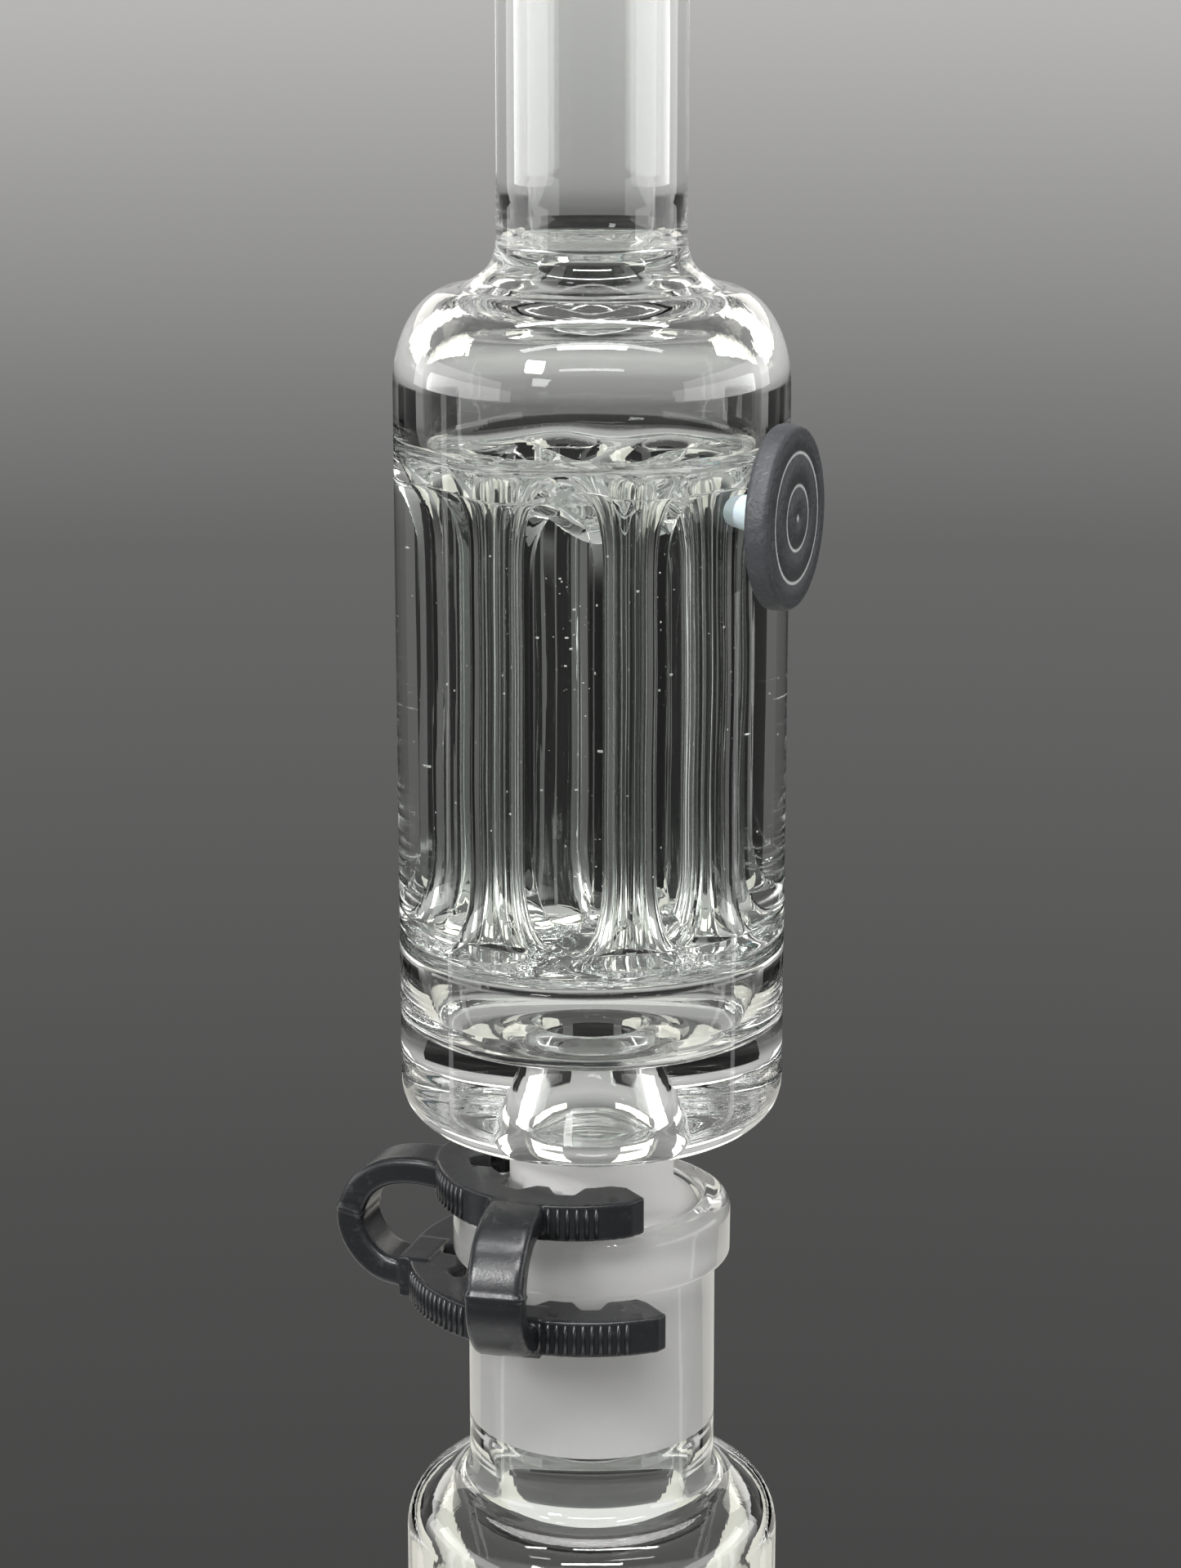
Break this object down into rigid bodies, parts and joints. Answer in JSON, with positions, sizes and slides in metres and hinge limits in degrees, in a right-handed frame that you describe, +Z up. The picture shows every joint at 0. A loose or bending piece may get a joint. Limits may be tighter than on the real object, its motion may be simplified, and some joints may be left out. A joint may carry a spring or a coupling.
{
  "type": "glass condenser column",
  "caption": "Standing glass condenser column: sealed coolant jacket around upright condensing tubes, ground cone in a footed receiver's socket, held by a plastic joint clip.",
  "frame": {"origin": "centre of the receiver's flat foot, on the surface it stands on", "axes": "+Z up the column's axis, -Y the front, with the cap disc towards +X and the joint clip towards -X"},
  "size_m": [0.088, 0.088, 0.342],
  "materials": {
    "clear_glass": "clear, flame-polished, with a faint green edge",
    "ground_glass": "ground matte white where the taper is, clear outside",
    "coolant": "clear liquid with a few small bubbles",
    "black_plastic": "moulded, satin, with fine grip ribs",
    "pale_silicone": "milky pale blue, smooth",
    "black_stone": "slate-like, matte, edges worn lighter, pale engraved rings"
  },
  "bodies": {
    "receiver": {"receiver_foot": "clear_glass", "receiver_wall": "clear_glass", "receiver_shoulder": "clear_glass", "ground_socket": "ground_glass"},
    "condenser": {"ground_cone": "ground_glass", "joint_neck": "clear_glass", "jacket_base": "clear_glass", "jacket_shell": "clear_glass", "neck_tube": "clear_glass", "upper_tube_sheet": "clear_glass", "lower_tube_sheet": "clear_glass", "condensing_tube_1": "clear_glass", "condensing_tube_2": "clear_glass", "condensing_tube_3": "clear_glass", "condensing_tube_4": "clear_glass", "condensing_tube_5": "clear_glass", "condensing_tube_6": "clear_glass", "coolant_fill": "coolant"},
    "stopper": {"fill_plug": "pale_silicone", "cap_disc": "black_stone"},
    "joint_clip": {"clip_upper_jaw": "black_plastic", "clip_lower_jaw": "black_plastic", "clip_front_strap": "black_plastic", "clip_rear_strap": "black_plastic"}
  },
  "joints": [
    {"name": "condenser_turn", "type": "hinge", "parent": "receiver", "child": "condenser", "pos_m": [0, 0, 0.1305], "axis": [0, 0, 1], "continuous": true},
    {"name": "clip_pull", "type": "slide", "parent": "receiver", "child": "joint_clip", "axis": [-0.866, -0.5, 0], "range_m": [0, 0.05]},
    {"name": "stopper_pull", "type": "slide", "parent": "condenser", "child": "stopper", "axis": [0.7431, -0.6691, 0], "range_m": [0, 0.012]}
  ]
}
